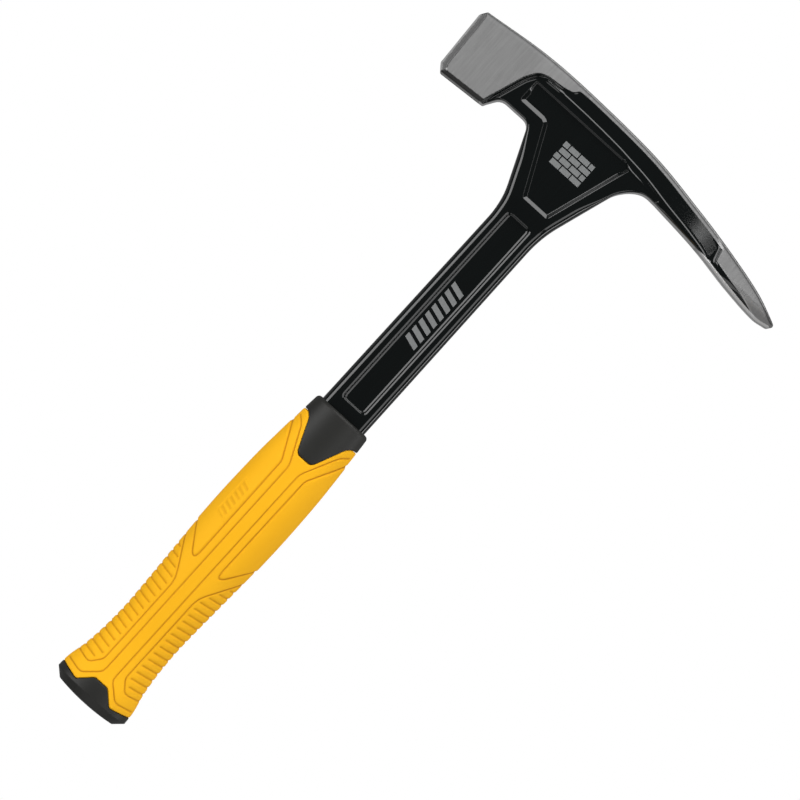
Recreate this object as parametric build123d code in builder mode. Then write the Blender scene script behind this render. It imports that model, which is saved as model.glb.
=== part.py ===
from build123d import *
from math import atan, degrees
import os

os.makedirs("parts", exist_ok=True)

# ------------------------------------------------------------------ sizes, mm
# +X runs up the handle to the head, +Y towards the striking face and -Y towards
# the chisel, +Z across the thickness.  Places along the handle are measured from
# the butt end, places across it from the handle axis.

# whole hammer
overall_length = 325.0      # butt end to the top of the head
face_reach = 69.2           # handle axis to the striking face
tip_reach = 105.4           # handle axis to the cutting edge
blade_width = 39.0          # cutting edge, across the thickness

# forged head
block_thickness = 25.0      # ground block behind the striking face
block_depth = 34.8          # top of the head down to the near corner of the block
block_length = 25.6         # striking face back to the neck
beam_thickness = 20.0       # painted beam between block and chisel
face_tilt = 1.3             # how far the striking face leans over its own depth
face_bevel = 2.0            # ground bevel round the striking face

# throat between the shaft and the head
throat_depth = 59.2         # top of the head down to where the shaft ends
throat_web = 13.0           # steel left between the two throat pockets
throat_rim = 17.6           # steel round the throat pockets
pocket_bevel = 1.7          # width of the sloping pocket walls

# shaft and tang
shaft_width = 22.0
shaft_thickness = 14.0
shaft_round = 3.0
shaft_flare = 0.6           # each side, where the shaft enters the collar
shaft_pocket_margin = 5.0   # collar to the shaft pocket
shaft_pocket_width = 12.9
shaft_pocket_depth = 2.0
tang_width = 15.0
tang_thickness = 8.0
tang_start = 24.0
tang_hole = 7.0
tang_hole_count = 4

# grip
grip_length = 158.8         # butt end to the collar face
grip_width = 32.8           # over the belly
grip_thickness = 27.6       # over the belly
butt_swell = 1.11           # butt width over belly width
waist_swell = 0.875         # waist width over belly width
collar_swell = 0.86         # front end width over belly width
cover_wall = 3.0            # soft cover over the hard core
cap_length = 7.0            # butt end to the start of the cover
cap_tab_length = 4.8        # tongue of the cap let into the cover
cap_tab_width = 7.4
collar_length = 8.4         # bare collar in front of the cover
collar_tab_length = 15.6    # tongue of the collar let into the cover
collar_tab_width = 7.2
rib_count = 17
rib_pitch = 3.5
rib_groove = 0.9
rib_groove_depth = 0.6
rib_start = 17.5
rib_inner = 7.2             # handle axis to the inner end of a rib groove
rib_lean = 1.3

# ------------------------------------------------------------ working planes
# The bounding box stands on Z = 0 with its centre over the origin.
butt_x = -overall_length / 2
axis_y = (tip_reach - face_reach) / 2
mid_z = blade_width / 2
side_plane = Plane(origin=(butt_x, axis_y, mid_z))
top_plane = Plane(origin=(butt_x, axis_y, mid_z), x_dir=(1, 0, 0), z_dir=(0, -1, 0))
end_plane = Plane(origin=(butt_x, axis_y, mid_z), x_dir=(0, 1, 0), z_dir=(1, 0, 0))


def at(depth, reach):
    """Point on the side plane, from its depth below the top of the head and its reach."""
    return (overall_length - depth, reach)


# ------------------------------------------- forged steel: head, shaft and tang
neck_y = face_reach - block_length
shaft_end = overall_length - throat_depth
collar_tip_half = shaft_width / 2 + shaft_flare

# side view of the head and throat
with BuildPart() as head_profile:
    with BuildSketch(side_plane):
        with BuildLine():
            near_corner = at(block_depth, face_reach - 3.6)
            far_corner = at(4.0, face_reach - 2.1)
            Polyline(near_corner, at(block_depth - 2.8, face_reach - face_tilt), at(7.0, face_reach), far_corner)
            Spline(
                far_corner,
                at(0.7, 39.0),
                at(0.0, 14.0),
                at(1.5, -23.0),
                at(5.8, -51.0),
                at(9.8, -71.0),
                at(14.9, -91.0),
                at(20.9, -tip_reach),
            )
            Line(at(20.9, -tip_reach), at(22.4, -tip_reach + 0.4))
            Spline(
                at(22.4, -tip_reach + 0.4),
                at(23.7, -96.8),
                at(21.8, -80.8),
                at(18.4, -60.8),
                at(16.2, -36.8),
            )
            Spline(
                at(16.2, -36.8),
                at(17.05, -28.8),
                at(22.5, -22.8),
                at(28.0, -20.2),
                tangents=((-0.02, 1), (-1, 0.28)),
            )
            Polyline(
                at(28.0, -20.2),
                at(52.0, -12.4),
                (shaft_end, -shaft_width / 2),
                (shaft_end, shaft_width / 2),
                at(54.3, 12.4),
                at(28.6, 24.0),
                at(26.2, 26.5),
                at(26.2, 38.2),
                at(28.0, 40.2),
                at(block_depth - 1.6, neck_y),
                near_corner,
            )
        make_face()
    extrude(amount=blade_width / 2, both=True)

# plan of the beam and chisel, looking along the handle: the chisel flares to its edge
with BuildPart() as head_plan:
    with BuildSketch(end_plane):
        with BuildLine():
            flare = Spline(
                (-tip_reach, blade_width / 2),
                (-22.0, beam_thickness / 2),
                tangents=((1, -0.17), (1, 0)),
            )
            Line(flare @ 1, (face_reach, beam_thickness / 2))
            Line((face_reach, beam_thickness / 2), (face_reach, 0))
            Line((face_reach, 0), (-tip_reach, 0))
            Line((-tip_reach, 0), flare @ 0)
        make_face()
        mirror(about=Plane.XZ)
    extrude(amount=overall_length)

# thickness along the handle: thin at the shaft, full at the head
with BuildPart() as thickness_profile:
    with BuildSketch(top_plane):
        with BuildLine():
            Line((shaft_end, 0), (shaft_end, shaft_thickness / 2))
            swell = Spline(
                (shaft_end, shaft_thickness / 2),
                at(throat_depth - 13.0, throat_rim / 2),
                tangents=((1, 0), (1, 0)),
            )
            Line(swell @ 1, at(25.0, beam_thickness / 2))
            Polyline(
                at(25.0, beam_thickness / 2),
                at(25.0, blade_width),
                at(-1.0, blade_width),
                at(-1.0, 0),
                (shaft_end, 0),
            )
        make_face()
        mirror(about=Plane.XZ)
    extrude(amount=face_reach + tip_reach, both=True)

# ground block, standing proud of the painted beam on both sides
with BuildPart() as block:
    with BuildSketch(side_plane):
        with BuildLine():
            Polyline(
                near_corner,
                at(block_depth - 2.8, face_reach - face_tilt),
                at(7.0, face_reach),
                far_corner,
                at(0.7, 39.0),
                at(0.0, 15.0),
                at(2.3, 17.3),
                at(5.3, 20.6),
                at(6.4, 32.1),
                at(11.2, 37.7),
                at(31.5, neck_y + 0.4),
                at(block_depth - 1.6, neck_y),
                near_corner,
            )
        make_face()
    extrude(amount=block_thickness / 2, both=True)
    proud_edges = block.edges().filter_by(GeomType.LINE).filter_by(Axis.Z, reverse=True)
    chamfer(proud_edges.group_by(Axis.Z)[0], length=face_bevel / 2)
    proud_edges = block.edges().filter_by(GeomType.LINE).filter_by(Axis.Z, reverse=True)
    chamfer(proud_edges.group_by(Axis.Z)[-1], length=face_bevel / 2)

# shaft, one rounded bar from the collar to the throat
with BuildPart() as shaft:
    with BuildSketch(end_plane.offset(grip_length - 1)):
        RectangleRounded(2 * collar_tip_half, shaft_thickness, shaft_round)
    with BuildSketch(end_plane.offset(grip_length + 30)):
        RectangleRounded(shaft_width, shaft_thickness, shaft_round)
    loft()
    with BuildSketch(end_plane.offset(grip_length + 30)):
        RectangleRounded(shaft_width, shaft_thickness, shaft_round)
    extrude(amount=shaft_end - grip_length - 30)

# tang inside the grip, with holes that key the moulded core
tang_hole_pitch = (grip_length - tang_start) / (tang_hole_count + 0.5)
with BuildPart() as tang:
    with BuildSketch(side_plane):
        with Locations(((tang_start + grip_length) / 2, 0)):
            Rectangle(grip_length - tang_start, tang_width)
        with Locations([(tang_start + tang_hole_pitch * (n + 0.6), 0) for n in range(tang_hole_count)]):
            Circle(tang_hole / 2, mode=Mode.SUBTRACT)
    extrude(amount=tang_thickness / 2, both=True)

# throat pockets: one outline, cut into both sides with sloping walls
pocket_outline = [
    at(47.8, 4.2),
    at(47.8, -4.6),
    at(14.6, -15.6),
    at(13.2, -14.8),
    at(13.2, 30.6),
    at(18.6, 30.6),
    at(18.6, 18.6),
]
pocket_rounds = [0.8, 0.8, 0.5, 0.5, 0.8, 0.8, 0.0]
pocket_slope = degrees(atan(pocket_bevel / ((throat_rim - throat_web) / 2)))
with BuildPart() as throat_pocket:
    with BuildSketch(side_plane.offset(throat_web / 2)):
        with BuildLine():
            FilletPolyline(pocket_outline, radius=pocket_rounds, close=True)
        make_face()
    extrude(amount=(beam_thickness - throat_web) / 2 + 0.5, taper=-pocket_slope)

# shaft pockets, long and shallow
shaft_pocket_start = grip_length + shaft_pocket_margin
shaft_pocket_end = shaft_end + 1.4
shaft_pocket_wall = 1.85
shaft_floor = shaft_thickness / 2 - shaft_pocket_depth
with BuildPart() as shaft_pocket:
    with BuildSketch(side_plane.offset(shaft_floor)):
        with Locations(((shaft_pocket_start + shaft_pocket_end) / 2, 0)):
            RectangleRounded(
                shaft_pocket_end - shaft_pocket_start - 2 * shaft_pocket_wall,
                shaft_pocket_width - 2 * shaft_pocket_wall,
                1.8,
            )
    extrude(amount=shaft_pocket_depth + 1, taper=-degrees(atan(shaft_pocket_wall / shaft_pocket_depth)))

with BuildPart() as forging:
    add(head_profile)
    add(head_plan, mode=Mode.INTERSECT)
    add(thickness_profile, mode=Mode.INTERSECT)
    add(block)
    add(shaft)
    add(tang)
    for pocket in (throat_pocket, shaft_pocket):
        add(pocket, mode=Mode.SUBTRACT)
        add(mirror(pocket.part, about=side_plane, mode=Mode.PRIVATE), mode=Mode.SUBTRACT)

# ------------------------------------------------------------- shape of the grip
belly_half = grip_width / 2
oval = grip_thickness / grip_width
grip_stations = [
    (0.0, butt_swell),
    (0.045, butt_swell * 0.994),
    (0.11, 0.975),
    (0.17, 0.902),
    (0.26, waist_swell),
    (0.40, 0.925),
    (0.56, 0.985),
    (0.66, 1.0),
    (0.78, 0.978),
    (0.90, 0.905),
    (1.0, collar_swell),
]


def grip_body(inset):
    """Oval body of the grip, every section set in by the same amount."""
    with BuildPart() as body:
        for along, swell_here in grip_stations:
            with BuildSketch(end_plane.offset(along * grip_length)):
                Ellipse(belly_half * swell_here - inset, belly_half * swell_here * oval - inset)
        loft()
    return body.part


outer_body = grip_body(0.0)
groove_body = grip_body(rib_groove_depth)
core_body = grip_body(cover_wall)

# ------------------------------------------------------------------ butt cap
cap_edge_half = belly_half * butt_swell + 4
with BuildPart() as cap_region:
    with BuildSketch(side_plane):
        with BuildLine():
            Polyline(
                (-1, cap_edge_half),
                (cap_length + 0.5, cap_edge_half),
                (cap_length - 0.9, cap_tab_width / 2 + 5.3),
                (cap_length + cap_tab_length - 0.6, cap_tab_width / 2 + 0.4),
                (cap_length + cap_tab_length, cap_tab_width / 2 - 0.6),
                (cap_length + cap_tab_length, 0),
                (-1, 0),
                (-1, cap_edge_half),
            )
        make_face()
        mirror(about=Plane.XZ)
    extrude(amount=grip_thickness, both=True)

dome_radius = 75.0
with BuildPart() as butt_cap:
    add(outer_body)
    chamfer(butt_cap.edges().group_by(Axis.X)[0], length=3.6, length2=4.6)
    add(cap_region, mode=Mode.INTERSECT)
    with Locations((butt_x + dome_radius, axis_y, mid_z)):
        Sphere(dome_radius, mode=Mode.INTERSECT)

# --------------------------------------------- hard core with the front collar
cover_end = grip_length - collar_length
with BuildPart() as collar_region:
    with BuildSketch(side_plane):
        with BuildLine():
            Polyline(
                (grip_length + 1, belly_half + 2),
                (cover_end, belly_half + 2),
                (cover_end, 12.6),
                (cover_end - 2.2, 9.9),
                (cover_end - collar_tab_length + 1.2, collar_tab_width / 2 + 0.8),
                (cover_end - collar_tab_length, collar_tab_width / 2 - 0.6),
                (cover_end - collar_tab_length, 0),
                (grip_length + 1, 0),
                (grip_length + 1, belly_half + 2),
            )
        make_face()
        mirror(about=Plane.XZ)
    extrude(amount=grip_thickness, both=True)

with BuildPart() as grip_core:
    add(outer_body)
    fillet(grip_core.edges().group_by(Axis.X)[-1], radius=1.5)
    add(collar_region, mode=Mode.INTERSECT)
    add(core_body)
    add(cap_region, mode=Mode.SUBTRACT)
    add(forging, mode=Mode.SUBTRACT)

# ---------------------------------------------------------- soft yellow cover
with BuildPart() as rib_grooves:
    with BuildSketch(side_plane):
        for n in range(rib_count):
            groove_x = rib_start + n * rib_pitch
            with BuildLine():
                Polyline(
                    (groove_x - rib_groove / 2, rib_inner),
                    (groove_x + rib_groove / 2, rib_inner),
                    (groove_x + rib_groove / 2 + rib_lean, belly_half * butt_swell + 2),
                    (groove_x - rib_groove / 2 + rib_lean, belly_half * butt_swell + 2),
                    (groove_x - rib_groove / 2, rib_inner),
                )
            make_face()
        mirror(about=Plane.XZ)
    extrude(amount=grip_thickness, both=True)
    add(groove_body, mode=Mode.SUBTRACT)

with BuildPart() as grip_cover:
    add(outer_body)
    add(core_body, mode=Mode.SUBTRACT)
    add(cap_region, mode=Mode.SUBTRACT)
    add(collar_region, mode=Mode.SUBTRACT)
    add(rib_grooves, mode=Mode.SUBTRACT)

# ---------------------------------------------------------------------- output
forging.part.label = "forging"
export_step(forging.part, "parts/forging.step")
grip_core.part.label = "grip_core"
export_step(grip_core.part, "parts/grip_core.step")
butt_cap.part.label = "butt_cap"
export_step(butt_cap.part, "parts/butt_cap.step")
grip_cover.part.label = "grip_cover"
export_step(grip_cover.part, "parts/grip_cover.step")
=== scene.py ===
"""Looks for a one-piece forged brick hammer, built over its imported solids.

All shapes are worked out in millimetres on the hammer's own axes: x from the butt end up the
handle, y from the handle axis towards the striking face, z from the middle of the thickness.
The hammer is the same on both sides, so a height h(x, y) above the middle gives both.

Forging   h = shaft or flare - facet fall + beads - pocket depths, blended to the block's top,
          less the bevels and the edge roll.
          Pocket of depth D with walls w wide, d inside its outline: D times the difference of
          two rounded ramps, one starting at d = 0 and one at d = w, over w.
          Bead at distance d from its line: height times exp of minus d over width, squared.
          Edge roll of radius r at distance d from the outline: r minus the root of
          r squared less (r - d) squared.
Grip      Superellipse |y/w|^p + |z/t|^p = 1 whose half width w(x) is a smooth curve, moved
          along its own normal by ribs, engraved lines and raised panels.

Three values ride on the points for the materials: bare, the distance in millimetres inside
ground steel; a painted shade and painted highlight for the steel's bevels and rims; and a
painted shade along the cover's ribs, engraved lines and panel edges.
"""

import math

import bpy
import numpy as np
from mathutils import Matrix, Vector


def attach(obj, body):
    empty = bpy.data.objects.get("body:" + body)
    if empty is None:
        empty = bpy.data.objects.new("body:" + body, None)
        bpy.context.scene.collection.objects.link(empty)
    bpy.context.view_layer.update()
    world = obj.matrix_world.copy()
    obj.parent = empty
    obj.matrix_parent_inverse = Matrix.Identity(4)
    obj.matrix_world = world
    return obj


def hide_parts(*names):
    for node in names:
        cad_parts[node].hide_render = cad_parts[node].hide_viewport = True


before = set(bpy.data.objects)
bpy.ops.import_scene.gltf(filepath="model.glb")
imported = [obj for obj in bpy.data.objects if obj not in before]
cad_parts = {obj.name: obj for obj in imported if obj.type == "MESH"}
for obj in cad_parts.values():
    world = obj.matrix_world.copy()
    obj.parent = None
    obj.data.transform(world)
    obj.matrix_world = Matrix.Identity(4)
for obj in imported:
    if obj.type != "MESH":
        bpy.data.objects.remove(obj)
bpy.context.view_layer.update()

# ------------------------------------------------------------------------------ forging
# The head, throat and shaft are one drop forging of medium-carbon steel.  It is painted gloss
# black, and then the striking block, the crown and the chisel are ground bright on a belt.
BUTT, AXIS, MIDDLE = -162.5, 18.1, 19.5


def smooth_curve(points, steps=12):
    """Catmull-Rom curve through the points, end points doubled."""
    p = np.array(points, float)
    p = np.vstack([2 * p[0] - p[1], p, 2 * p[-1] - p[-2]])
    t = np.linspace(0, 1, steps, endpoint=False)[None, :, None]
    a, b, c, d = (p[i:len(p) - 3 + i, None, :] for i in range(4))
    curve = 0.5 * (2 * b + (c - a) * t + (2 * a - 5 * b + 4 * c - d) * t**2
                   + (3 * b - a - 3 * c + d) * t**3)
    return np.vstack([curve.reshape(-1, 2), p[-2:-1]])


def rounded(points, radii, steps=6, closed=True):
    """Polyline with every corner replaced by a quadratic curve that starts a radius away."""
    p = np.array(points, float)
    n = len(p)
    r = np.broadcast_to(np.array(radii, float), n)
    out = []
    for i in range(n):
        if not closed and i in (0, n - 1):
            out.append(p[i:i + 1])
            continue
        a, b, c = p[i - 1], p[i], p[(i + 1) % n]
        u, v = (a - b) / np.linalg.norm(a - b), (c - b) / np.linalg.norm(c - b)
        t = np.linspace(0, 1, steps)[:, None]
        out.append((1 - t)**2 * (b + u * r[i]) + 2 * t * (1 - t) * b + t**2 * (b + v * r[i]))
    return np.vstack(out)


def nearest(points, line, closed=True):
    """Distance to a polyline, the nearest point on it, and for a closed one whether inside."""
    a = line if closed else line[:-1]
    b = np.roll(line, -1, axis=0) if closed else line[1:]
    keep = np.linalg.norm(b - a, axis=1) > 1e-9
    a, b = a[keep], b[keep]
    best = np.full(len(points), 1e9)
    foot = np.zeros_like(points)
    inside = np.zeros(len(points), bool)
    for start, end in zip(a, b):
        along = end - start
        t = np.clip(((points - start) @ along) / (along @ along), 0, 1)[:, None]
        here = start + t * along
        far = np.hypot(*(points - here).T)
        closer = far < best
        best[closer] = far[closer]
        foot[closer] = here[closer]
        if closed:
            crosses = (start[1] > points[:, 1]) != (end[1] > points[:, 1])
            with np.errstate(divide="ignore", invalid="ignore"):
                at = start[0] + (points[:, 1] - start[1]) * along[0] / along[1]
            inside ^= crosses & (points[:, 0] < at)
    return best, foot, inside


def signed(points, line):
    """Distance to a closed outline, positive inside."""
    far, _, inside = nearest(points, line)
    return np.where(inside, far, -far)


def ease(t):
    t = np.clip(t, 0, 1)
    return t * t * (3 - 2 * t)


def soft_ramp(t, soft=0.3):
    """Zero below 0 and t above it, with the corner rounded over about soft."""
    return 0.5 * (t + np.sqrt(t * t + soft * soft)) - 0.5 * soft * np.exp(-np.abs(t) / soft)


crown = smooth_curve([(321.0, 67.1), (324.3, 39.0), (325.0, 14.0), (323.5, -23.0),
                      (319.2, -51.0), (315.2, -71.0), (310.1, -91.0), (304.9, -103.9)])
point = smooth_curve([(304.9, -103.9), (304.2, -105.1), (303.3, -105.4), (302.5, -104.9),
                      (302.1, -103.9)], 5)
underside = smooth_curve([(302.1, -103.9), (301.3, -96.8), (303.2, -80.8), (306.6, -60.8),
                          (308.8, -36.8)])
crook = smooth_curve([(308.8, -36.8), (308.9, -32.0), (307.95, -28.8), (305.6, -25.5),
                      (302.5, -22.8), (299.8, -21.2), (297.0, -20.2)])
flank = rounded([(297.0, -20.2), (270.4, -11.9), (262.0, -11.0), (150.0, -11.4), (150.0, 11.4),
                 (262.0, 11.0), (270.4, 12.2), (298.8, 24.6), (298.8, 39.3), (291.8, 43.6),
                 (290.2, 65.6), (293.0, 67.9), (318.0, 69.2), (321.0, 67.1)],
                [0.1, 5.0, 3.0, 0.1, 0.1, 3.0, 5.0, 3.0, 3.0, 0.4, 0.5, 0.5, 0.5, 0.4])
outline = np.vstack([crown[:-1], point[:-1], underside[:-1], crook[:-1], flank])
face_line = np.array([(290.2, 65.6), (293.0, 67.9), (318.0, 69.2)])
rear_line = np.array([(291.8, 43.6), (290.2, 65.6)])
throat_pocket = rounded([(274.3, 5.8), (274.3, -7.6), (311.6, -19.2), (313.9, -16.5), (313.9, 33.6),
                         (303.4, 33.6), (303.4, 20.2)], [1.2, 1.2, 0.8, 1.0, 1.0, 1.5, 2.0])
shaft_pocket = rounded([(163.8, 6.5), (163.8, -6.5), (267.3, -6.5), (267.3, 6.5)], [3.0] * 4)
ridge = smooth_curve([(316.9, 44.0), (316.8, 34.1), (316.6, 9.0), (315.9, -7.9), (315.3, -14.8),
                      (314.0, -26.8), (311.4, -40.8), (309.8, -50.8), (307.8, -60.8),
                      (306.6, -65.0)])
web_line = smooth_curve([(313.6, -15.0), (312.2, -18.8), (311.6, -24.0), (311.1, -29.5),
                         (310.2, -36.0)])
block_edge = rounded([(270.0, 52.5), (292.0, 45.4), (311.7, 38.7), (316.7, 35.5), (318.4, 31.5),
                      (319.2, 23.5), (320.3, 19.2), (322.5, 17.6), (322.7, 13.0), (330.0, 13.0),
                      (330.0, 80.0), (270.0, 80.0)],
                     [0.1, 0.1, 2.0, 2.0, 2.0, 1.5, 1.0, 1.0, 0.3, 0.1, 0.1, 0.1])
ground_tip = rounded([(308.4, -70.6), (314.0, -69.2), (315.6, -64.8), (330.0, -64.8),
                      (330.0, -110.0), (295.0, -110.0), (301.9, -96.0), (304.5, -87.8),
                      (306.3, -79.0)], [0.3, 1.5, 0.3, 0.1, 0.1, 0.1, 0.6, 0.6, 0.6])


def flare(y):
    """Half thickness of the beam, opening out towards the cutting edge."""
    t = np.clip((-22.0 - y) / 83.4, 0, 1)
    return 10.0 + 9.5 * (1.505 * t**2 - 0.505 * t**3)


def crown_roll(y):
    """Radius of the rolled crown edge, smaller beside the striking face."""
    return 0.95 - 0.4 * ease((y - 25.0) / 40.0)


THROAT_DEPTH = 1.088
LIP_SLOPE, WALL_SLOPE = 0.36, 1.4
BLOCK_TOP, BLOCK_FALL = 12.5, 2.5
CROWN_BEVEL = 2.25


def forging_height(p):
    """Half thickness of the forging at points of the side view."""
    x, y = p[:, 0], p[:, 1]
    edge = np.maximum(nearest(p, outline)[0], 0.02)
    crown_far = nearest(p, crown, closed=False)[0]
    # base: shaft, swelling to the throat, then the beam and the flare of the chisel
    shaft = 7.0 + 1.9 * ease((x - 264.0) / 11.0) + 1.1 * ease((x - 276.0) / 30.0)
    base = shaft + (np.maximum(shaft, flare(y)) - shaft) * ease((x - 299.0) / 8.0)
    # facets fall away on both sides of the ridge, which stands up as a fine bead
    ridge_far, ridge_foot, _ = nearest(p, ridge, closed=False)
    beyond = np.where(x > ridge_foot[:, 0], ridge_far, -ridge_far)
    on_beam = ease((x - 309.0 + np.clip((-30 - y) * 0.25, 0, 12)) / 3.0) * ease((y + 69.0) / 2.0)
    fall = (0.03 * soft_ramp(beyond - 0.6)
            + 0.34 * soft_ramp(-beyond - 0.4) * ease((-22.0 - y) / 14.0))
    bead = 0.40 * np.exp(-(ridge_far / 0.65)**2)
    web_far = nearest(p, web_line, closed=False)[0]
    bead = bead + 0.36 * np.exp(-(web_far / 0.6)**2)
    base = base - on_beam * (np.minimum(fall, 2.5) - bead)
    # throat and shaft pockets with sloping walls
    throat = signed(p, throat_pocket)
    slant = 1.7 - 0.9 * ease((x - 307.5) / 4.0)
    wall = (soft_ramp(throat, 0.4) - soft_ramp(throat - slant, 0.4)) / slant
    base = base - THROAT_DEPTH * wall
    fluting = signed(p, shaft_pocket)
    lip, steep, foot, floor = (soft_ramp(fluting - start, 0.2) for start in (-0.2, 0.55, 1.15, 1.9))
    base = base - LIP_SLOPE * (lip - steep + foot - floor) - WALL_SLOPE * (steep - foot)
    # ground block stands proud
    block = signed(p, block_edge)
    face_far = nearest(p, face_line, closed=False)[0]
    rear_far = nearest(p, rear_line, closed=False)[0]
    top = BLOCK_TOP - BLOCK_FALL * ease((46.0 - y) / 33.0)
    face_bevel = 0.7 * soft_ramp(2.7 - face_far, 0.4) + 1.2 * soft_ramp(0.9 - face_far, 0.4)
    top = top - np.maximum(face_bevel, 0.9 * soft_ramp(1.7 - rear_far, 0.4))
    base = base + (top - base) * ease((block + 1.5) / 1.4)
    # a raised lip follows the paint side of the ground edges
    base = base + 0.22 * np.exp(-((block + 2.2) / 0.5)**2) * ease((y - 20.0) / 5.0)
    # bevel ground along the crown
    base = base - 0.09 * soft_ramp(CROWN_BEVEL - crown_far, 0.3)
    # the chisel's ground side sits a little lower than the painted steel
    tip = signed(p, ground_tip)
    base = base - 0.22 * ease((tip + 0.5) / 1.0) * (y < -60)
    lip_bead = np.exp(-((tip + 1.0) / 0.45)**2) * ease((y + 72.8) / 1.4) * ease((314.6 - x) / 1.5)
    base = base + 0.3 * lip_bead * (y < -60)
    # rolled edges
    roll = 3.4 - 2.3 * ease((x - 284.0) / 16.0)
    roll = np.where(y > 43.0, 0.5, roll)
    roll = np.where(y < -25.0, 1.1 - 0.4 * ease((-50.0 - y) / 20.0), roll)
    roll = np.where(crown_far < edge + 0.01, crown_roll(y), roll)
    near = np.clip(edge, 0, roll)
    return base - (roll - np.sqrt(np.maximum(roll**2 - (roll - near)**2, 0)))


def forging_bare(p):
    """Millimetres inside the ground steel: positive where the belt has been, negative on paint."""
    block = signed(p, block_edge)
    tip = signed(p, ground_tip)
    strip = CROWN_BEVEL - nearest(p, crown, closed=False)[0]
    heel = 0.8 * ease((-61.0 - p[:, 1]) / 5.0) - nearest(p, underside, closed=False)[0]
    heel = np.where(p[:, 1] < -60.0, heel, -9.0)
    return np.maximum.reduce([block, tip, strip, heel])


def forging_painted_shading(p):
    """Painted shade and highlight on the steel: -1 for painted shade on bevels, 0 on the flats, 1
    for a painted highlight on rims.
    """
    y = p[:, 1]
    crown_far = nearest(p, crown, closed=False)[0]
    under_far = nearest(p, underside, closed=False)[0]
    face_far = nearest(p, face_line, closed=False)[0]
    rear_far = nearest(p, rear_line, closed=False)[0]
    line = crown_roll(y) + 0.15
    # painted shade on the crown's rolled edge, painted highlight along the chisel's underside,
    # slight painted shade on the chisel's ground side
    painted_shading = (-0.5 * ease((line + 0.1 - crown_far) / 0.3)
            - 0.35 * np.exp(-((crown_far - line) / 0.3)**2))
    painted_shading = painted_shading + ease((0.9 - under_far) / 0.3) * ease((-60.0 - y) / 5.0)
    painted_shading = painted_shading - 0.09 * ease((signed(p, ground_tip) - 0.2) / 0.6) * (y < -60.0)
    # painted shade on the face and rear bevels, painted highlight on the face's outer strip
    face = -0.72 * ease((3.3 - face_far) / 0.4)
    face = face + 1.5 * ease((1.05 - face_far) / 0.35)
    rear = -0.92 * ease((2.0 - rear_far) / 0.35)
    on_face = ease((3.3 - face_far) / 0.4) * ease((rear_far - face_far + 0.2) / 0.4)
    painted_shading = painted_shading + (face - painted_shading) * on_face
    return (painted_shading + (rear - painted_shading) * ease((2.0 - rear_far) / 0.35)
            * ease((face_far - rear_far + 0.2) / 0.4))


def mesh_object(name, points, faces, normals=None, values=None):
    """Mesh piece from millimetre points on the hammer's axes."""
    mesh = bpy.data.meshes.new(name)
    placed = (points + [BUTT, AXIS, MIDDLE]) / 1000
    mesh.from_pydata(placed.tolist(), [], faces if isinstance(faces, list) else faces.tolist())
    mesh.polygons.foreach_set("use_smooth", np.ones(len(mesh.polygons), bool))
    for key, value in (values or {}).items():
        attribute = mesh.attributes.new(key, "FLOAT", "POINT")
        attribute.data.foreach_set("value", value.astype(np.float32))
    if normals is not None:
        mesh.normals_split_custom_set_from_vertices(normals.tolist())
    mesh.update()
    piece = bpy.data.objects.new(name, mesh)
    bpy.context.scene.collection.objects.link(piece)
    return piece


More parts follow.
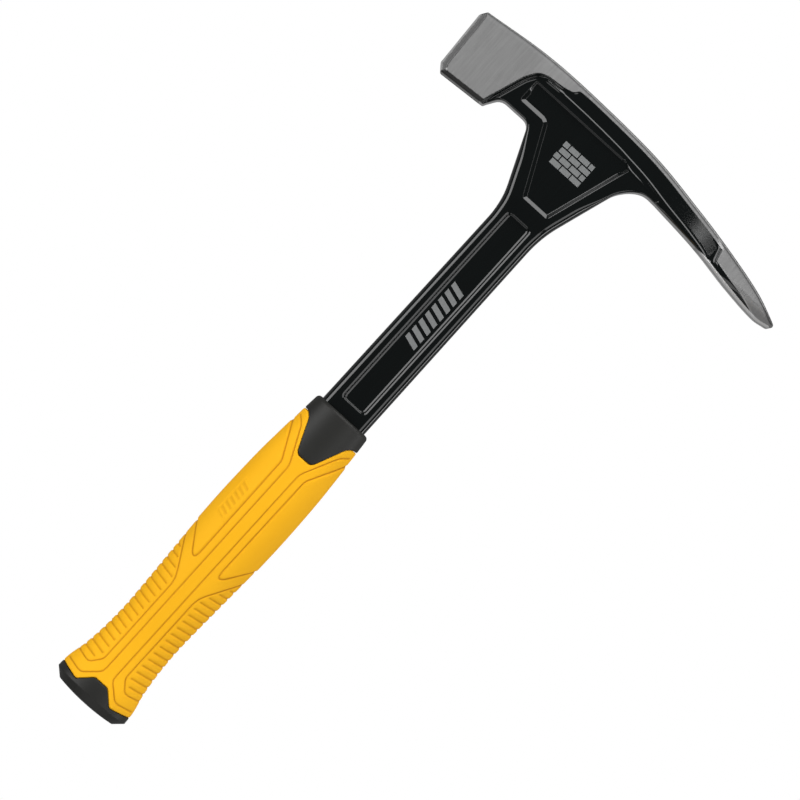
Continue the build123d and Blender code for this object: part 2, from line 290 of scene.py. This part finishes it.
def forged_part(name, x0, x1, y0, y1, pitch):
    """Closed shell over the part of the outline inside a box: lattice points near the outline are
    pulled on to it, the height lifts them both ways, and walls meet at the parting line."""
    nx, ny = int(round((x1 - x0) / pitch)) + 1, int(round((y1 - y0) / pitch)) + 1
    gx, gy = np.meshgrid(np.linspace(x0, x1, nx), np.linspace(y0, y1, ny), indexing="ij")
    p = np.stack([gx.ravel(), gy.ravel()], 1)
    inside = signed(p, outline)
    valid = (inside > -0.5 * pitch).reshape(nx, ny)
    cell = valid[:-1, :-1] & valid[1:, :-1] & valid[1:, 1:] & valid[:-1, 1:]
    ids = np.arange(nx * ny).reshape(nx, ny)
    quads = np.stack([ids[:-1, :-1][cell], ids[1:, :-1][cell], ids[1:, 1:][cell],
                      ids[:-1, 1:][cell]], 1)
    edges = np.vstack([quads[:, [i, (i + 1) % 4]] for i in range(4)])
    key = np.sort(edges, 1) @ [nx * ny, 1]
    _, first, count = np.unique(key, return_index=True, return_counts=True)
    rim = edges[first[count == 1]]
    border = np.unique(rim)
    far, foot, _ = nearest(p[border], outline)
    across = (p[border, 0] < x0 + 1e-6) | (p[border, 0] > x1 - 1e-6)
    along = ~across & ((p[border, 1] < y0 + 1e-6) | (p[border, 1] > y1 - 1e-6))
    free = ~across & ~along
    p[border[free]] = foot[free]
    for seam, axis in ((across & (far < 0.5 * pitch), 1), (along & (far < 0.5 * pitch), 0)):
        p[border[seam], axis] = foot[seam, axis]
    used = np.unique(quads)
    new = np.full(nx * ny, -1)
    new[used] = np.arange(len(used))
    p, quads, rim = p[used], new[quads], new[rim]
    border = new[border]
    z = forging_height(p)
    # normals from the true slopes of the height, and straight outwards on the outline itself
    step = 0.06
    dzdx = (forging_height(p + [step, 0]) - forging_height(p - [step, 0])) / (2 * step)
    dzdy = (forging_height(p + [0, step]) - forging_height(p - [0, step])) / (2 * step)
    normal = np.stack([-dzdx, -dzdy, np.ones(len(p))], 1)
    rolled = border[nearest(p[border], outline)[0] < 0.02]
    step = 0.25
    rise = [signed(p[rolled] - move, outline) - signed(p[rolled] + move, outline)
            for move in ([step, 0], [0, step])]
    normal[rolled] = np.stack([*rise, np.zeros(len(rolled))], 1)
    normal /= np.linalg.norm(normal, axis=1)[:, None]
    # ground steel mask, and the painted shade and highlight for the steel's bevels and rims
    bare, painted_shading = forging_bare(p), forging_painted_shading(p)
    count = len(p)
    ring = np.full(count, -1)
    ring[border] = 2 * count + np.arange(len(border))
    upper_wall = np.column_stack([rim[:, 1], rim[:, 0], ring[rim[:, 0]], ring[rim[:, 1]]])
    lower_wall = np.column_stack([rim[:, 0] + count, rim[:, 1] + count, ring[rim[:, 1]],
                                  ring[rim[:, 0]]])
    faces = np.vstack([quads, upper_wall, quads[:, ::-1] + count, lower_wall])
    points = np.vstack([np.column_stack([p, z]), np.column_stack([p, -z]),
                        np.column_stack([p[border], 0 * z[border]])])
    normals = np.vstack([normal, normal * [1, 1, -1], normal[border]])
    return mesh_object(name, points, faces, normals,
                       {"bare": np.concatenate([bare, bare, bare[border]]),
                        "painted_shading": np.concatenate([painted_shading, painted_shading, 0 * painted_shading[border]])})


def linear(code):
    """sRGB hex to a linear colour."""
    c = np.array([int(code[i:i + 2], 16) for i in (1, 3, 5)]) / 255
    return (*np.where(c <= 0.04045, c / 12.92, ((c + 0.055) / 1.055)**2.4), 1.0)


def node(tree, kind, settings=None, links=None):
    """Adds a shader node, sets its values and links its inputs."""
    made = tree.nodes.new(kind)
    for key, value in (settings or {}).items():
        if isinstance(key, str) and hasattr(made, key):
            setattr(made, key, value)
        else:
            made.inputs[key].default_value = value
    for key, source in (links or {}).items():
        tree.links.new(source, made.inputs[key])
    return made


def new_material(name):
    material = bpy.data.materials.new(name)
    material.use_nodes = True
    tree = material.node_tree
    tree.nodes.clear()
    return material, tree


# Belt-ground forged steel beside gloss black enamel: the grey shows fine scratches along the
# handle, the enamel a faint orange peel, and the border is crisp because it follows the grind.
material, tree = new_material("ground_steel_and_black_enamel")
where = node(tree, "ShaderNodeTexCoord").outputs["Object"]
bare = node(tree, "ShaderNodeAttribute", {"attribute_name": "bare"}).outputs["Fac"]
mask = node(tree, "ShaderNodeMapRange", {"From Min": -0.12, "From Max": 0.12},
            {"Value": bare}).outputs["Result"]
stretch = node(tree, "ShaderNodeMapping", {"Scale": (150, 3000, 150)},
               {"Vector": where}).outputs["Vector"]
scratch = node(tree, "ShaderNodeTexNoise", {"Scale": 1.0, "Detail": 4.0},
               {"Vector": stretch}).outputs["Fac"]
broad = node(tree, "ShaderNodeMapping", {"Scale": (50, 1000, 50)},
             {"Vector": where}).outputs["Vector"]
streak = node(tree, "ShaderNodeTexNoise", {"Scale": 1.0, "Detail": 3.0},
              {"Vector": broad}).outputs["Fac"]
both = node(tree, "ShaderNodeMath", {"operation": "ADD"}, {0: scratch, 1: streak}).outputs["Value"]
grey = node(tree, "ShaderNodeMapRange",
            {"From Min": 0.7, "From Max": 1.3, "To Min": 0.0, "To Max": 1.0},
            {"Value": both}).outputs["Result"]
steel = node(tree, "ShaderNodeMix",
             {"data_type": "RGBA", 6: linear("#9D9D9D"), 7: linear("#A9A9A9")},
             {0: grey}).outputs[2]
# Painted shade and painted highlight: the steel is mixed towards near-black on bevels and
# near-white on rims.
painted_shading = node(tree, "ShaderNodeAttribute", {"attribute_name": "painted_shading"}).outputs["Fac"]
dark = node(tree, "ShaderNodeMapRange", {"From Max": -1.0, "To Max": 1.0},
            {"Value": painted_shading}).outputs["Result"]
bright = node(tree, "ShaderNodeMapRange", {"From Max": 1.0, "To Max": 1.0},
              {"Value": painted_shading}).outputs["Result"]
steel = node(tree, "ShaderNodeMix", {"data_type": "RGBA", 7: linear("#242424")},
             {0: dark, 6: steel}).outputs[2]
steel = node(tree, "ShaderNodeMix", {"data_type": "RGBA", 7: linear("#F2F2F2")},
             {0: bright, 6: steel}).outputs[2]
enamel = node(tree, "ShaderNodeMix",
              {"data_type": "RGBA", 6: linear("#0A0D0D"), 7: linear("#0D1010")},
              {0: streak}).outputs[2]
colour = node(tree, "ShaderNodeMix", {"data_type": "RGBA"},
              {0: mask, 6: enamel, 7: steel}).outputs[2]
rough_steel = node(tree, "ShaderNodeMapRange",
                   {"From Min": 0.3, "From Max": 0.7, "To Min": 0.47, "To Max": 0.53},
                   {"Value": scratch}).outputs["Result"]
rough = node(tree, "ShaderNodeMix", {"data_type": "FLOAT", 2: 0.09},
             {0: mask, 3: rough_steel}).outputs[0]
peel = node(tree, "ShaderNodeTexNoise", {"Scale": 700.0, "Detail": 2.0},
            {"Vector": where}).outputs["Fac"]
relief = node(tree, "ShaderNodeMix", {"data_type": "FLOAT"},
              {0: mask, 2: peel, 3: scratch}).outputs[0]
depth = node(tree, "ShaderNodeMix", {"data_type": "FLOAT", 2: 0.015, 3: 0.06}, {0: mask}).outputs[0]
bump = node(tree, "ShaderNodeBump", {"Distance": 0.00004},
            {"Height": relief, "Strength": depth}).outputs["Normal"]
surface = node(tree, "ShaderNodeBsdfPrincipled", {"IOR": 1.5},
               {"Base Color": colour, "Metallic": mask, "Roughness": rough, "Normal": bump})
node(tree, "ShaderNodeOutputMaterial", links={"Surface": surface.outputs[0]})
forging_finish = material

PITCH = 0.25                # lattice step, fine enough for the narrow bevels
NECK, SPLIT = 269.5, 10.0   # where the shaft's lattice meets the head's, and the head's two parts
head_face_side = forged_part("head_face_side", NECK, 327.0, SPLIT, 71.0, PITCH)
head_chisel_side = forged_part("head_chisel_side", NECK, 327.0, -107.0, SPLIT, PITCH)
shaft = forged_part("shaft", 152.0, NECK, -13.0, 13.0, PITCH)
for piece in (head_face_side, head_chisel_side, shaft):
    piece.data.materials.append(forging_finish)
    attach(piece, "root")
    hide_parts("forging")

# Plain printed figures, silk-screened in grey on both sides: slanted bars in the shaft pocket and
# a small brick bond in the throat.  Each bar or brick is a thin pad of ink on the pocket floor.
ink = []
for n in range(8):
    x = 199.0 + 4.0 * n
    ink.append([(x - 0.9, -3.3), (x + 1.5, -3.3), (x + 3.5, 3.3), (x + 1.1, 3.3)])
for course in range(4):
    x = 292.6 + 2.9 * course
    for n in range(4):
        low = max(-8.0 + 5.4 * n - 2.7 * (course % 2), -8.0)
        high = min(-8.0 + 5.4 * n - 2.7 * (course % 2) + 4.9, 8.1)
        if high > low + 0.8:
            ink.append([(x, low), (x + 2.3, low), (x + 2.3, high), (x, high)])
pads = np.array(ink)
level = forging_height(pads.reshape(-1, 2)).reshape(len(pads), 4)
points = []
for side in (1, -1):
    for lift in (-0.05, 0.04):
        points.append(np.dstack([pads, side * (level + lift)[..., None]]).reshape(-1, 3))
count = len(pads) * 4
first = np.arange(len(pads))[:, None] * 4 + np.arange(4)
walls = np.stack([first, np.roll(first, -1, 1), np.roll(first, -1, 1) + count, first + count],
                 -1).reshape(-1, 4)
shell = np.vstack([first + count, first[:, ::-1], walls])
faces = np.vstack([shell, shell[:, ::-1] + 2 * count])
print_pads = mesh_object("printed_figures", np.vstack(points), faces)
print_pads.data.polygons.foreach_set("use_smooth", np.zeros(len(faces), bool))

# Matte grey screen ink, a little uneven in its cover.
material, tree = new_material("grey_screen_ink")
where = node(tree, "ShaderNodeTexCoord").outputs["Object"]
cover_noise = node(tree, "ShaderNodeTexNoise", {"Scale": 900.0, "Detail": 3.0},
                   {"Vector": where}).outputs["Fac"]
colour = node(tree, "ShaderNodeMix",
              {"data_type": "RGBA", 6: linear("#6E7070"), 7: linear("#7B7D7D")},
              {0: cover_noise}).outputs[2]
surface = node(tree, "ShaderNodeBsdfPrincipled", {"Roughness": 0.6, "IOR": 1.45},
               {"Base Color": colour})
node(tree, "ShaderNodeOutputMaterial", links={"Surface": surface.outputs[0]})
print_pads.data.materials.append(material)
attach(print_pads, "root")

# --------------------------------------------------------------------------------- grip
# A hard black nylon core is moulded on the tang; its front end is the bare collar.  A soft
# yellow elastomer is moulded over it with ribs, engraved lines and raised belly panels.
GRIP_END = 158.8
OVAL = 27.6 / 32.8
SQUARE = 2.25
grip_profile = smooth_curve([(-8.0, 17.6), (0.0, 18.2), (7.1, 18.1), (11.5, 17.6), (17.5, 16.25),
                             (24.0, 15.35), (31.0, 14.75), (41.3, 14.4), (52.0, 14.7), (63.5, 15.2),
                             (76.0, 15.75), (88.9, 16.2), (104.8, 16.4), (123.9, 16.0),
                             (135.0, 15.35), (142.9, 14.8), (152.0, 14.2), (158.8, 13.6),
                             (166.0, 13.0)], 10)


def half_width(x):
    return np.interp(x, grip_profile[:, 0], grip_profile[:, 1])


fine = np.linspace(0, 2 * np.pi, 4001)
ring_y = np.sign(np.cos(fine)) * np.abs(np.cos(fine))**(2 / SQUARE)
ring_z = np.sign(np.sin(fine)) * np.abs(np.sin(fine))**(2 / SQUARE) * OVAL
run = np.concatenate([[0], np.cumsum(np.hypot(np.diff(ring_y), np.diff(ring_z)))])
RING = 248
even = np.interp(np.linspace(0, run[-1], RING, endpoint=False), run, fine)
ring_y = np.sign(np.cos(even)) * np.abs(np.cos(even))**(2 / SQUARE)
ring_z = np.sign(np.sin(even)) * np.abs(np.sin(even))**(2 / SQUARE) * OVAL
out_y = np.sign(ring_y) * np.abs(ring_y)**(SQUARE - 1)
out_z = np.sign(ring_z) * np.abs(ring_z / OVAL)**(SQUARE - 1) / OVAL
out_length = np.hypot(out_y, out_z)
out_y, out_z = out_y / out_length, out_z / out_length


def collar_line(across):
    """Where the cover ends at the collar: a pointed tongue of the collar lies along the axis."""
    return np.interp(np.abs(across), [0.0, 2.7, 3.6, 4.6, 9.6, 10.6, 12.0, 13.0],
                     [134.7, 134.7, 135.1, 136.2, 147.6, 149.3, 150.5, 150.9])


def cap_line(across):
    """Where the cover ends at the butt cap."""
    return np.interp(np.abs(across), [0.0, 3.2, 4.0, 4.8, 9.0, 9.8, 17.5],
                     [11.7, 11.7, 11.2, 10.4, 6.3, 6.1, 7.6])


def crossing(line):
    """Place along the handle, for every ring angle, where the body meets a side-view line."""
    x = np.full(RING, line(0.0))
    for _ in range(6):
        x = line(ring_y * half_width(x))
    return x


def grip_surface(x, lift):
    """Points of the grip body at rows of x, moved out by lift along the section's own normal."""
    w = half_width(x)
    return np.stack([x, w * ring_y + lift * out_y, w * ring_z + lift * out_z], -1)


def closed_tube(name, rings, values=None):
    """Rings of points joined in order along the handle, with a fan closing each end."""
    rows = len(rings)
    ids = np.arange(rows * RING).reshape(rows, RING)
    nxt = np.roll(ids, -1, axis=1)
    sides = np.stack([ids[:-1], nxt[:-1], nxt[1:], ids[1:]], -1).reshape(-1, 4)
    fans = [np.stack([np.full(RING, rows * RING), nxt[0], ids[0]], -1),
            np.stack([np.full(RING, rows * RING + 1), ids[-1], nxt[-1]], -1)]
    middles = np.stack([rings[0].mean(axis=0), rings[-1].mean(axis=0)])
    points = np.vstack([rings.reshape(-1, 3), middles])
    faces = sides.tolist() + np.vstack(fans).tolist()
    values = {key: np.concatenate([value.ravel(), [0, 0]]) for key, value in (values or {}).items()}
    return mesh_object(name, points, faces, values=values)


side_a = rounded([(10.4, 17.0), (9.4, 11.0), (9.5, 9.3), (15.0, 3.2), (16.8, 2.6), (128.2, 2.8),
                  (130.4, 3.5), (144.8, 10.6), (147.4, 13.6)],
                 [1, 1, 1.2, 1.2, 1.2, 1.2, 1.5, 1.5, 1], closed=False)
side_b = rounded([(15.6, 16.5), (14.7, 11.5), (14.8, 9.8), (19.0, 6.4), (20.6, 6.0), (62.0, 6.1),
                  (65.5, 7.4), (79.5, 15.8)], [1, 1, 1.2, 1.2, 1.2, 2.5, 2.5, 1], closed=False)
side_c = rounded([(88.0, 16.6), (75.9, 8.2), (75.6, 6.8), (77.5, 6.3), (128.2, 6.6), (142.6, 14.2),
                  (150.0, 18.0), (150.0, 30.0), (88.0, 30.0)],
                 [1, 1.2, 0.8, 1.0, 1.5, 1.5, 1, 1, 1])


RIB_START, RIB_PITCH, LAST_RIB = 17.4, 3.5, 16
BAR_START, BAR_PITCH, LAST_BAR = 92.6, 2.6, 6


def cover_lift(p):
    """Ribs, engraved lines and panels of the soft cover: mm out of the body, and painted shade."""
    x, side = p[..., 0].ravel(), np.abs(p[..., 1]).ravel()
    flat = np.stack([x, side], 1)
    lift = np.zeros(len(x))
    shade = np.zeros(len(x))
    # engraved lines, each with a painted shade along it
    for line in (side_a, side_b):
        far = nearest(flat, line, closed=False)[0]
        lift -= 0.34 * np.exp(-(far / 0.32)**2)
        shade = np.maximum(shade, np.exp(-(far / 0.27)**2))
    # raised panels, with a painted shade round their edges
    panel = signed(flat, side_c)
    lift += 0.25 * ease((panel + 0.1) / 0.7) - 0.3 * np.exp(-((panel + 0.25) / 0.32)**2)
    shade = np.maximum(shade, np.exp(-((panel + 0.2) / 0.27)**2))
    # ribs: grooves lean forward as they go round the edge, and die out at the engraved line
    lean = 1.3 * np.clip((side - 7.2) / 9.0, 0, 1)
    place = (x - lean - RIB_START) / RIB_PITCH
    number = np.round(place)
    inner = np.interp(number, [0, 1, 13, 14, 15, LAST_RIB], [9.4, 7.6, 7.6, 9.2, 11.4, 13.6])
    within = (number >= 0) & (number <= LAST_RIB)
    groove_and_shade = np.exp(-((place - number) * RIB_PITCH / 0.45)**2)
    groove_and_shade = groove_and_shade * within * ease((side - inner + 0.3) / 0.8)
    lift -= 0.5 * groove_and_shade
    # painted shade in the rib hollows
    shade = np.maximum(shade, 0.6 * groove_and_shade**2)
    # plain raised bars on the upper belly panel
    bar = (x - 0.35 * side - BAR_START) / BAR_PITCH
    number = np.round(bar)
    bars = ease((0.30 - np.abs(bar - number)) / 0.14) * (number >= 0) * (number <= LAST_BAR)
    face_side = p[..., 1].ravel() > 0
    inside = ease((side - 8.3) / 0.4) * ease((12.3 - side) / 0.4) * face_side
    rails = np.exp(-((np.abs(side - 10.3) - 2.7) / 0.3)**2)
    rails = rails * ease((bar + 0.6) / 0.2) * ease((LAST_BAR + 0.6 - bar) / 0.2)
    lift += 0.26 * bars * inside + 0.2 * rails * face_side
    # painted shade on the panel between the bars
    between = (1 - bars) * inside * (bar > -0.3) * (bar < LAST_BAR + 0.3)
    shade = np.maximum(shade, 0.22 * between)
    return lift.reshape(p.shape[:-1]), shade.reshape(p.shape[:-1])


TUCK = -1.6      # the hidden end ring of a shell lies this far below its surface
GAP = 0.12       # half the joint between the cover and the hard plastic


def joint_roll(far, radius):
    """How far a lip has rolled inward at a share of its radius from the joint, 1 at the joint."""
    return 1 - np.sqrt(np.clip(1 - (1 - np.clip(far / radius, 0, 1))**2, 0, 1))


def with_rolled_ends(lift_at, ends, rows):
    """Surface between two end lines whose last rows roll inward, so that the joint reads."""
    first, last = ends
    t = np.linspace(0, 1, rows)[:, None]
    x = first + (last - first) * t
    base = grip_surface(x, 0.0)
    lift, shade = lift_at(base)
    lift = lift - 0.45 * joint_roll(np.minimum(x - first, last - x), 0.6)
    body = grip_surface(x, lift)
    inner_first = grip_surface(x[:1], TUCK)
    inner_last = grip_surface(x[-1:], TUCK)
    shade = np.concatenate([shade[:1], shade, shade[-1:]])
    return np.concatenate([inner_first, body, inner_last]), shade


# the cover carries the painted shade of its hollows as a point attribute
cover_points, cover_shade = with_rolled_ends(
    cover_lift, (crossing(cap_line) + GAP, crossing(collar_line) - GAP), 394)
cover = closed_tube("cover", cover_points, {"groove_and_shade": cover_shade})

# Soft elastomer, satin and faintly mottled warm yellow, with orange painted shade in its hollows.
material, tree = new_material("moulded_yellow_elastomer")
where = node(tree, "ShaderNodeTexCoord").outputs["Object"]
mottle = node(tree, "ShaderNodeTexNoise", {"Scale": 55.0, "Detail": 3.0},
              {"Vector": where}).outputs["Fac"]
grain = node(tree, "ShaderNodeTexNoise", {"Scale": 2600.0, "Detail": 2.0},
             {"Vector": where}).outputs["Fac"]
plain = node(tree, "ShaderNodeMix",
             {"data_type": "RGBA", 6: linear("#F1AF14"), 7: linear("#F6B61C")},
             {0: mottle}).outputs[2]
# painted shade: darker orange where the attribute marks the cover's hollows
groove_and_shade = node(tree, "ShaderNodeAttribute", {"attribute_name": "groove_and_shade"}).outputs["Fac"]
colour = node(tree, "ShaderNodeMix", {"data_type": "RGBA", 7: linear("#B87408")},
              {0: groove_and_shade, 6: plain}).outputs[2]
bump = node(tree, "ShaderNodeBump", {"Distance": 0.00003, "Strength": 0.25},
            {"Height": grain}).outputs["Normal"]
surface = node(tree, "ShaderNodeBsdfPrincipled",
               {"Roughness": 0.7, "IOR": 1.46, "Specular IOR Level": 0.15},
               {"Base Color": colour, "Normal": bump})
node(tree, "ShaderNodeOutputMaterial", links={"Surface": surface.outputs[0]})
cover.data.materials.append(material)
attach(cover, "root")
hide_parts("grip_cover")

# Collar and cap are the hard core showing: charcoal nylon with a fine spark-eroded grain.
material, tree = new_material("moulded_charcoal_nylon")
where = node(tree, "ShaderNodeTexCoord").outputs["Object"]
mottle = node(tree, "ShaderNodeTexNoise", {"Scale": 90.0, "Detail": 3.0},
              {"Vector": where}).outputs["Fac"]
grain = node(tree, "ShaderNodeTexNoise", {"Scale": 1900.0, "Detail": 3.0},
             {"Vector": where}).outputs["Fac"]
colour = node(tree, "ShaderNodeMix",
              {"data_type": "RGBA", 6: linear("#0E0E0B"), 7: linear("#141410")},
              {0: mottle}).outputs[2]
bump = node(tree, "ShaderNodeBump", {"Distance": 0.00004, "Strength": 0.35},
            {"Height": grain}).outputs["Normal"]
surface = node(tree, "ShaderNodeBsdfPrincipled",
               {"Roughness": 0.55, "IOR": 1.53, "Specular IOR Level": 0.4},
               {"Base Color": colour, "Normal": bump})
node(tree, "ShaderNodeOutputMaterial", links={"Surface": surface.outputs[0]})
nylon = material

# Collar: from the tongue line to its rounded front face, closed down on to the shaft.
start = crossing(collar_line) + GAP
t = np.linspace(0, 1, 60)[:, None]
x = start + (GRIP_END - start) * t**0.9
front_roll = 1.6
near_front = np.clip(GRIP_END - x, 0, front_roll)
lift = np.sqrt(front_roll**2 - (front_roll - near_front)**2) - front_roll
lift = lift - 0.35 * joint_roll(x - start, 0.5)
body = grip_surface(x, lift)
tail = [body[-1:] * [1, k, k] for k in (0.9, 0.7, 0.5)]
collar_points = np.concatenate([grip_surface(start[None], TUCK), body, *tail])
collar = closed_tube("collar", collar_points)
collar.data.materials.append(nylon)
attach(collar, "root")
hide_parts("grip_core")

# Butt cap: a bevel ring and a shallow dome behind its own tongue line.
start = crossing(cap_line) - GAP
t = np.linspace(0, 1, 40)[:, None]
CAP_SIDE, CAP_RIM = 4.6, 1.2     # where the straight side ends, and where the bevel meets the dome
x = start + (CAP_SIDE - start) * t
lift = -0.35 * joint_roll(start - x, 0.5)
body = grip_surface(x, lift)
shrink = np.linspace(0, 1, 12)[1:]
bevel = [np.stack([np.full(RING, CAP_SIDE - (CAP_SIDE - CAP_RIM) * s),
                   *(body[-1, :, 1:] * (1 - 0.2 * s)).T], -1)[None] for s in shrink]
rim = bevel[-1]
dome = [np.stack([np.full(RING, CAP_RIM * (1 - s)**2), *(rim[0, :, 1:] * (1 - s)).T], -1)[None]
        for s in np.linspace(0, 0.96, 14)[1:]]
cap_points = np.concatenate([grip_surface(start[None], TUCK), body, *bevel, *dome])
cap = closed_tube("cap", cap_points[::-1])
cap.data.materials.append(nylon)
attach(cap, "root")
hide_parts("butt_cap")

# -------------------------------------------------------------------------------- floor
# A plain white sweep, lit evenly so that it stays near white around the hammer.
mesh = bpy.data.meshes.new("floor")
mesh.from_pydata([(-4, -4, -0.0005), (4, -4, -0.0005), (4, 4, -0.0005), (-4, 4, -0.0005)], [],
                 [(0, 1, 2, 3)])
floor = bpy.data.objects.new("floor", mesh)
bpy.context.scene.collection.objects.link(floor)
material, tree = new_material("white_sweep")
seen = node(tree, "ShaderNodeLightPath").outputs["Is Camera Ray"]
strength = node(tree, "ShaderNodeMapRange", {"To Min": 0.3, "To Max": 1.0},
                {"Value": seen}).outputs["Result"]
surface = node(tree, "ShaderNodeEmission", {"Color": (1, 1, 1, 1)}, {"Strength": strength})
node(tree, "ShaderNodeOutputMaterial", links={"Surface": surface.outputs[0]})
mesh.materials.append(material)

# ------------------------------------------------------------------- lights and camera
TURN = math.radians(42.2)
right = Vector((math.sin(TURN), -math.cos(TURN), 0))
up = Vector((math.cos(TURN), math.sin(TURN), 0))
centre = Vector((0.0168, 0.0054, 0.0195))


def softbox(name, azimuth, tilt, size, radiance, distance=1.6):
    """Area light aimed at the hammer: azimuth from +X round to +Y, tilt away from the vertical."""
    data = bpy.data.lights.new(name, "AREA")
    data.shape = "RECTANGLE"
    data.size, data.size_y = size
    data.energy = radiance * math.pi * size[0] * size[1]
    lamp = bpy.data.objects.new(name, data)
    a, t = math.radians(azimuth), math.radians(tilt)
    lamp.location = centre + distance * Vector((math.cos(a) * math.sin(t),
                                                math.sin(a) * math.sin(t), math.cos(t)))
    lamp.rotation_mode = "QUATERNION"
    lamp.rotation_quaternion = (lamp.location - centre).to_track_quat("Z", "Y")
    bpy.context.scene.collection.objects.link(lamp)


softbox("head_box", -5, 66, (1.4, 0.9), 4.6)
softbox("chisel_side_box", -85, 35, (1.8, 0.7), 2.3)
softbox("low_chisel_side_box", -85, 87, (2.2, 0.45), 5.0)
softbox("face_side_box", 95, 48, (1.8, 0.9), 4.6)
softbox("butt_side_box", 190, 72, (1.2, 0.8), 1.5)
softbox("chisel_glint", 45.6, 14.2, (0.04, 0.04), 9.0, 2.2)

world = bpy.data.worlds.new("studio")
world.use_nodes = True
world.node_tree.nodes["Background"].inputs["Color"].default_value = (1, 1, 1, 1)
world.node_tree.nodes["Background"].inputs["Strength"].default_value = 0.06
bpy.context.scene.world = world
bpy.context.scene.view_settings.view_transform = "Standard"

camera_data = bpy.data.cameras.new("camera")
camera_data.lens = 36 * 2.4 / 0.32884
camera_data.sensor_width = 36
camera = bpy.data.objects.new("camera", camera_data)
bpy.context.scene.collection.objects.link(camera)
turned = Matrix((right, up, (0, 0, 1))).transposed().to_4x4()
camera.matrix_world = Matrix.Translation(centre + Vector((0, 0, 2.4))) @ turned
bpy.context.scene.camera = camera
